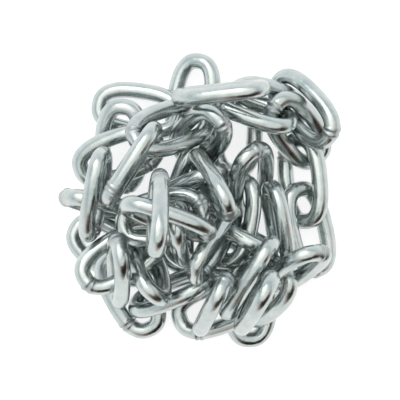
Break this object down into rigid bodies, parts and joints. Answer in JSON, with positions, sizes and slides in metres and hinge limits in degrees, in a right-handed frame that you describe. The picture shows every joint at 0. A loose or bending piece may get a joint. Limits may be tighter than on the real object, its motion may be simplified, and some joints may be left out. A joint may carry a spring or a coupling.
{
  "type": "heap of short-link steel chain",
  "caption": "Loose rounded heap of bright zinc-plated short-link steel chain, its oval links partly interlocked and partly only piled, lying on a flat floor.",
  "frame": {"origin": "middle of the heap's plan box, on the floor it lies on", "axes": "+Z up, away from the floor; +X right and +Y up in the picture, which looks straight down"},
  "size_m": [0.0676, 0.072, 0.046],
  "materials": {
    "zinc_plated_steel": "bright semi-gloss zinc plating"
  },
  "bodies": {
    "root": {"link_01": "zinc_plated_steel", "link_02": "zinc_plated_steel", "link_03": "zinc_plated_steel", "link_04": "zinc_plated_steel", "link_05": "zinc_plated_steel", "link_06": "zinc_plated_steel", "link_07": "zinc_plated_steel", "link_08": "zinc_plated_steel", "link_09": "zinc_plated_steel", "link_10": "zinc_plated_steel", "link_11": "zinc_plated_steel", "link_12": "zinc_plated_steel", "link_13": "zinc_plated_steel", "link_14": "zinc_plated_steel", "link_15": "zinc_plated_steel", "link_16": "zinc_plated_steel", "link_17": "zinc_plated_steel", "link_18": "zinc_plated_steel", "link_19": "zinc_plated_steel", "link_20": "zinc_plated_steel", "link_21": "zinc_plated_steel", "link_22": "zinc_plated_steel", "link_23": "zinc_plated_steel", "link_24": "zinc_plated_steel", "link_25": "zinc_plated_steel", "link_26": "zinc_plated_steel", "link_27": "zinc_plated_steel", "link_28": "zinc_plated_steel", "link_29": "zinc_plated_steel", "link_30": "zinc_plated_steel", "link_31": "zinc_plated_steel", "link_32": "zinc_plated_steel", "link_33": "zinc_plated_steel", "link_34": "zinc_plated_steel", "link_35": "zinc_plated_steel", "link_36": "zinc_plated_steel", "link_37": "zinc_plated_steel", "link_38": "zinc_plated_steel", "link_39": "zinc_plated_steel", "link_40": "zinc_plated_steel", "link_41": "zinc_plated_steel", "link_42": "zinc_plated_steel", "link_43": "zinc_plated_steel"}
  },
  "joints": []
}
